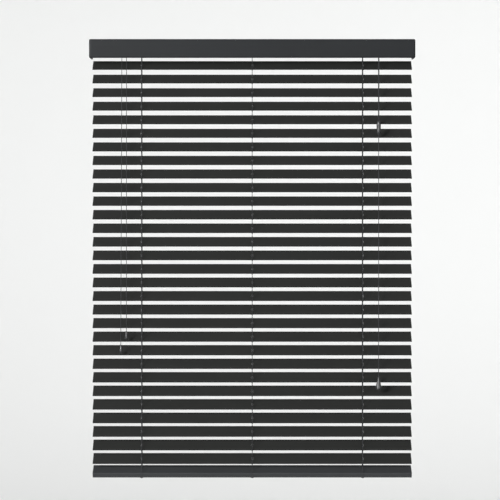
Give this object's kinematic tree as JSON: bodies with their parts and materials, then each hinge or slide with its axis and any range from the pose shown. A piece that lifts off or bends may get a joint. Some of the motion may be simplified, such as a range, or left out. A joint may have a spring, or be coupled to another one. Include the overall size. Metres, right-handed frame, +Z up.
{
  "type": "venetian blind",
  "caption": "Corded venetian blind with wide slats on string ladders, a valance and steel headrail in box brackets, and a bottom rail.",
  "frame": {"origin": "middle of the plane through the tops of the two brackets, above the middle of the headrail", "axes": "+Z up, +X to the right seen from the room, -Y towards the room"},
  "size_m": [1.028, 0.0793, 1.3894],
  "materials": {
    "slat": "anthracite paint, satin",
    "valance": "anthracite paint, satin",
    "bottom_rail": "anthracite paint, satin",
    "headrail_steel": "powder coated",
    "rod_steel": "zinc plated",
    "nylon": "natural nylon",
    "moulded_plastic": "fine moulded texture",
    "brass": "knurled",
    "cord": "braided polyester",
    "ladder_string": "braided polyester",
    "tassel": "satin moulded"
  },
  "bodies": {
    "head": {"headrail": "headrail_steel", "bracket_left": "headrail_steel", "bracket_right": "headrail_steel", "valance": "valance", "cradle_left": "moulded_plastic", "cradle_centre": "moulded_plastic", "cradle_right": "moulded_plastic", "tilter_housing": "moulded_plastic", "cord_lock_body": "moulded_plastic", "lift_cords": "cord"},
    "tilt_shaft": {"tilt_rod": "rod_steel", "drum_left": "nylon", "drum_centre": "nylon", "drum_right": "nylon", "tilter_gear": "nylon"},
    "worm": {"tilter_worm": "nylon"},
    "slat_01": {"slat_01": "slat"},
    "slat_02": {"slat_02": "slat"},
    "slat_03": {"slat_03": "slat"},
    "slat_04": {"slat_04": "slat"},
    "slat_05": {"slat_05": "slat"},
    "slat_06": {"slat_06": "slat"},
    "slat_07": {"slat_07": "slat"},
    "slat_08": {"slat_08": "slat"},
    "slat_09": {"slat_09": "slat"},
    "slat_10": {"slat_10": "slat"},
    "slat_11": {"slat_11": "slat"},
    "slat_12": {"slat_12": "slat"},
    "slat_13": {"slat_13": "slat"},
    "slat_14": {"slat_14": "slat"},
    "slat_15": {"slat_15": "slat"},
    "slat_16": {"slat_16": "slat"},
    "slat_17": {"slat_17": "slat"},
    "slat_18": {"slat_18": "slat"},
    "slat_19": {"slat_19": "slat"},
    "slat_20": {"slat_20": "slat"},
    "slat_21": {"slat_21": "slat"},
    "slat_22": {"slat_22": "slat"},
    "slat_23": {"slat_23": "slat"},
    "slat_24": {"slat_24": "slat"},
    "slat_25": {"slat_25": "slat"},
    "slat_26": {"slat_26": "slat"},
    "slat_27": {"slat_27": "slat"},
    "slat_28": {"slat_28": "slat"},
    "slat_29": {"slat_29": "slat"},
    "slat_30": {"slat_30": "slat"},
    "rail": {"bottom_rail": "bottom_rail", "rail_plug_left": "moulded_plastic", "rail_plug_centre": "moulded_plastic", "rail_plug_right": "moulded_plastic"},
    "ladder_front": {"ladder_front_centre": "ladder_string"},
    "ladder_rear": {"ladder_rear_centre": "ladder_string"},
    "tilt_cord_left": {"tilt_cord_left": "cord"},
    "tilt_cord_right": {"tilt_cord_right": "cord"},
    "tilt_tassel_left": {"tilt_tassel_left": "tassel"},
    "tilt_tassel_right": {"tilt_tassel_right": "tassel"},
    "pull_cord": {"pull_cord": "cord", "cord_equaliser": "tassel", "lift_tassel": "tassel"},
    "lock_roller": {"cord_lock_roller": "brass"}
  },
  "joints": [
    {"name": "tilt", "type": "hinge", "parent": "head", "child": "tilt_shaft", "pos_m": [0, 0, -0.0269], "axis": [1, 0, 0], "range_deg": [-106.5, 37.5], "deforming": ["tilt_cord_left", "tilt_cord_right", "ladder_front_centre", "ladder_rear_centre", "lift_cords"]},
    {"name": "slat_01_tilt", "type": "hinge", "parent": "head", "child": "slat_01", "pos_m": [0, 0, -0.08104], "axis": [1, 0, 0], "range_deg": [-106.7, 37.7]},
    {"name": "slat_02_tilt", "type": "hinge", "parent": "head", "child": "slat_02", "pos_m": [0, 0, -0.12404], "axis": [1, 0, 0], "range_deg": [-106.7, 37.7]},
    {"name": "slat_03_tilt", "type": "hinge", "parent": "head", "child": "slat_03", "pos_m": [0, 0, -0.16704], "axis": [1, 0, 0], "range_deg": [-106.7, 37.7]},
    {"name": "slat_04_tilt", "type": "hinge", "parent": "head", "child": "slat_04", "pos_m": [0, 0, -0.21004], "axis": [1, 0, 0], "range_deg": [-106.7, 37.7]},
    {"name": "slat_05_tilt", "type": "hinge", "parent": "head", "child": "slat_05", "pos_m": [0, 0, -0.25304], "axis": [1, 0, 0], "range_deg": [-106.7, 37.7]},
    {"name": "slat_06_tilt", "type": "hinge", "parent": "head", "child": "slat_06", "pos_m": [0, 0, -0.29604], "axis": [1, 0, 0], "range_deg": [-106.7, 37.7]},
    {"name": "slat_07_tilt", "type": "hinge", "parent": "head", "child": "slat_07", "pos_m": [0, 0, -0.33904], "axis": [1, 0, 0], "range_deg": [-106.7, 37.7]},
    {"name": "slat_08_tilt", "type": "hinge", "parent": "head", "child": "slat_08", "pos_m": [0, 0, -0.38204], "axis": [1, 0, 0], "range_deg": [-106.7, 37.7]},
    {"name": "slat_09_tilt", "type": "hinge", "parent": "head", "child": "slat_09", "pos_m": [0, 0, -0.42504], "axis": [1, 0, 0], "range_deg": [-106.7, 37.7]},
    {"name": "slat_10_tilt", "type": "hinge", "parent": "head", "child": "slat_10", "pos_m": [0, 0, -0.46804], "axis": [1, 0, 0], "range_deg": [-106.7, 37.7]},
    {"name": "slat_11_tilt", "type": "hinge", "parent": "head", "child": "slat_11", "pos_m": [0, 0, -0.51104], "axis": [1, 0, 0], "range_deg": [-106.7, 37.7]},
    {"name": "slat_12_tilt", "type": "hinge", "parent": "head", "child": "slat_12", "pos_m": [0, 0, -0.55404], "axis": [1, 0, 0], "range_deg": [-106.7, 37.7]},
    {"name": "slat_13_tilt", "type": "hinge", "parent": "head", "child": "slat_13", "pos_m": [0, 0, -0.59704], "axis": [1, 0, 0], "range_deg": [-106.7, 37.7]},
    {"name": "slat_14_tilt", "type": "hinge", "parent": "head", "child": "slat_14", "pos_m": [0, 0, -0.64004], "axis": [1, 0, 0], "range_deg": [-106.7, 37.7]},
    {"name": "slat_15_tilt", "type": "hinge", "parent": "head", "child": "slat_15", "pos_m": [0, 0, -0.68304], "axis": [1, 0, 0], "range_deg": [-106.7, 37.7]},
    {"name": "slat_16_tilt", "type": "hinge", "parent": "head", "child": "slat_16", "pos_m": [0, 0, -0.72604], "axis": [1, 0, 0], "range_deg": [-106.7, 37.7]},
    {"name": "slat_17_tilt", "type": "hinge", "parent": "head", "child": "slat_17", "pos_m": [0, 0, -0.76904], "axis": [1, 0, 0], "range_deg": [-106.7, 37.7]},
    {"name": "slat_18_tilt", "type": "hinge", "parent": "head", "child": "slat_18", "pos_m": [0, 0, -0.81204], "axis": [1, 0, 0], "range_deg": [-106.7, 37.7]},
    {"name": "slat_19_tilt", "type": "hinge", "parent": "head", "child": "slat_19", "pos_m": [0, 0, -0.85504], "axis": [1, 0, 0], "range_deg": [-106.7, 37.7]},
    {"name": "slat_20_tilt", "type": "hinge", "parent": "head", "child": "slat_20", "pos_m": [0, 0, -0.89804], "axis": [1, 0, 0], "range_deg": [-106.7, 37.7]},
    {"name": "slat_21_tilt", "type": "hinge", "parent": "head", "child": "slat_21", "pos_m": [0, 0, -0.94104], "axis": [1, 0, 0], "range_deg": [-106.7, 37.7]},
    {"name": "slat_22_tilt", "type": "hinge", "parent": "head", "child": "slat_22", "pos_m": [0, 0, -0.98404], "axis": [1, 0, 0], "range_deg": [-106.7, 37.7]},
    {"name": "slat_23_tilt", "type": "hinge", "parent": "head", "child": "slat_23", "pos_m": [0, 0, -1.02704], "axis": [1, 0, 0], "range_deg": [-106.7, 37.7]},
    {"name": "slat_24_tilt", "type": "hinge", "parent": "head", "child": "slat_24", "pos_m": [0, 0, -1.07004], "axis": [1, 0, 0], "range_deg": [-106.7, 37.7]},
    {"name": "slat_25_tilt", "type": "hinge", "parent": "head", "child": "slat_25", "pos_m": [0, 0, -1.11304], "axis": [1, 0, 0], "range_deg": [-106.7, 37.7]},
    {"name": "slat_26_tilt", "type": "hinge", "parent": "head", "child": "slat_26", "pos_m": [0, 0, -1.15604], "axis": [1, 0, 0], "range_deg": [-106.7, 37.7]},
    {"name": "slat_27_tilt", "type": "hinge", "parent": "head", "child": "slat_27", "pos_m": [0, 0, -1.19904], "axis": [1, 0, 0], "range_deg": [-106.7, 37.7]},
    {"name": "slat_28_tilt", "type": "hinge", "parent": "head", "child": "slat_28", "pos_m": [0, 0, -1.24204], "axis": [1, 0, 0], "range_deg": [-106.7, 37.7]},
    {"name": "slat_29_tilt", "type": "hinge", "parent": "head", "child": "slat_29", "pos_m": [0, 0, -1.28504], "axis": [1, 0, 0], "range_deg": [-106.7, 37.7]},
    {"name": "slat_30_tilt", "type": "hinge", "parent": "head", "child": "slat_30", "pos_m": [0, 0, -1.32804], "axis": [1, 0, 0], "range_deg": [-106.7, 37.7]},
    {"name": "rail_tilt", "type": "hinge", "parent": "head", "child": "rail", "pos_m": [0, 0, -1.36874], "axis": [1, 0, 0], "range_deg": [-84.33, 29.82]},
    {"name": "ladder_front_travel", "type": "hinge", "parent": "slat_01", "child": "ladder_front", "pos_m": [0, -0.02242, -0.09645], "axis": [1, 0, 0], "range_deg": [-37.7, 106.7]},
    {"name": "ladder_rear_travel", "type": "hinge", "parent": "slat_01", "child": "ladder_rear", "pos_m": [0, 0.02242, -0.06563], "axis": [1, 0, 0], "range_deg": [-37.7, 106.7]},
    {"name": "worm_turn", "type": "hinge", "parent": "head", "child": "worm", "pos_m": [-0.4035, 0, -0.0393], "axis": [0, 1, 0], "range_deg": [-451, 1279]},
    {"name": "tilt_cord_left_swing", "type": "hinge", "parent": "head", "child": "tilt_cord_left", "pos_m": [-0.4108, -0.036, -0.0393], "axis": [0, 1, 0], "range_deg": [-8, 8]},
    {"name": "tilt_tassel_left_travel", "type": "slide", "parent": "tilt_cord_left", "child": "tilt_tassel_left", "axis": [0.0043, 0, 1], "range_m": [-0.05783, 0.16333]},
    {"name": "tilt_cord_right_swing", "type": "hinge", "parent": "head", "child": "tilt_cord_right", "pos_m": [-0.3962, -0.036, -0.0393], "axis": [0, 1, 0], "range_deg": [-8, 8]},
    {"name": "tilt_tassel_right_travel", "type": "slide", "parent": "tilt_cord_right", "child": "tilt_tassel_right", "axis": [0.0011, 0, 1], "range_m": [-0.16333, 0.05783]},
    {"name": "pull_cord_swing", "type": "hinge", "parent": "head", "child": "pull_cord", "pos_m": [0.399, -0.036, -0.0476], "axis": [0, 1, 0], "range_deg": [-15, 15]},
    {"name": "lock_roller_slide", "type": "slide", "parent": "head", "child": "lock_roller", "axis": [1, 0, 0], "range_m": [-0.0031, 0.0031]}
  ],
  "couplings": [
    {"joint": "slat_01_tilt", "follows": "tilt", "ratio": 1},
    {"joint": "slat_02_tilt", "follows": "tilt", "ratio": 1},
    {"joint": "slat_03_tilt", "follows": "tilt", "ratio": 1},
    {"joint": "slat_04_tilt", "follows": "tilt", "ratio": 1},
    {"joint": "slat_05_tilt", "follows": "tilt", "ratio": 1},
    {"joint": "slat_06_tilt", "follows": "tilt", "ratio": 1},
    {"joint": "slat_07_tilt", "follows": "tilt", "ratio": 1},
    {"joint": "slat_08_tilt", "follows": "tilt", "ratio": 1},
    {"joint": "slat_09_tilt", "follows": "tilt", "ratio": 1},
    {"joint": "slat_10_tilt", "follows": "tilt", "ratio": 1},
    {"joint": "slat_11_tilt", "follows": "tilt", "ratio": 1},
    {"joint": "slat_12_tilt", "follows": "tilt", "ratio": 1},
    {"joint": "slat_13_tilt", "follows": "tilt", "ratio": 1},
    {"joint": "slat_14_tilt", "follows": "tilt", "ratio": 1},
    {"joint": "slat_15_tilt", "follows": "tilt", "ratio": 1},
    {"joint": "slat_16_tilt", "follows": "tilt", "ratio": 1},
    {"joint": "slat_17_tilt", "follows": "tilt", "ratio": 1},
    {"joint": "slat_18_tilt", "follows": "tilt", "ratio": 1},
    {"joint": "slat_19_tilt", "follows": "tilt", "ratio": 1},
    {"joint": "slat_20_tilt", "follows": "tilt", "ratio": 1},
    {"joint": "slat_21_tilt", "follows": "tilt", "ratio": 1},
    {"joint": "slat_22_tilt", "follows": "tilt", "ratio": 1},
    {"joint": "slat_23_tilt", "follows": "tilt", "ratio": 1},
    {"joint": "slat_24_tilt", "follows": "tilt", "ratio": 1},
    {"joint": "slat_25_tilt", "follows": "tilt", "ratio": 1},
    {"joint": "slat_26_tilt", "follows": "tilt", "ratio": 1},
    {"joint": "slat_27_tilt", "follows": "tilt", "ratio": 1},
    {"joint": "slat_28_tilt", "follows": "tilt", "ratio": 1},
    {"joint": "slat_29_tilt", "follows": "tilt", "ratio": 1},
    {"joint": "slat_30_tilt", "follows": "tilt", "ratio": 1},
    {"joint": "rail_tilt", "follows": "tilt", "ratio": 0.79},
    {"joint": "ladder_front_travel", "follows": "tilt", "ratio": -1},
    {"joint": "ladder_rear_travel", "follows": "tilt", "ratio": -1},
    {"joint": "worm_turn", "follows": "tilt", "ratio": -12},
    {"joint": "tilt_tassel_left_travel", "follows": "tilt", "m_per_rad": -0.0876},
    {"joint": "tilt_tassel_right_travel", "follows": "tilt", "m_per_rad": 0.0876},
    {"joint": "tilt_cord_right_swing", "follows": "tilt_cord_left_swing", "ratio": 1},
    {"joint": "lock_roller_slide", "follows": "pull_cord_swing", "m_per_rad": -0.011459}
  ]
}
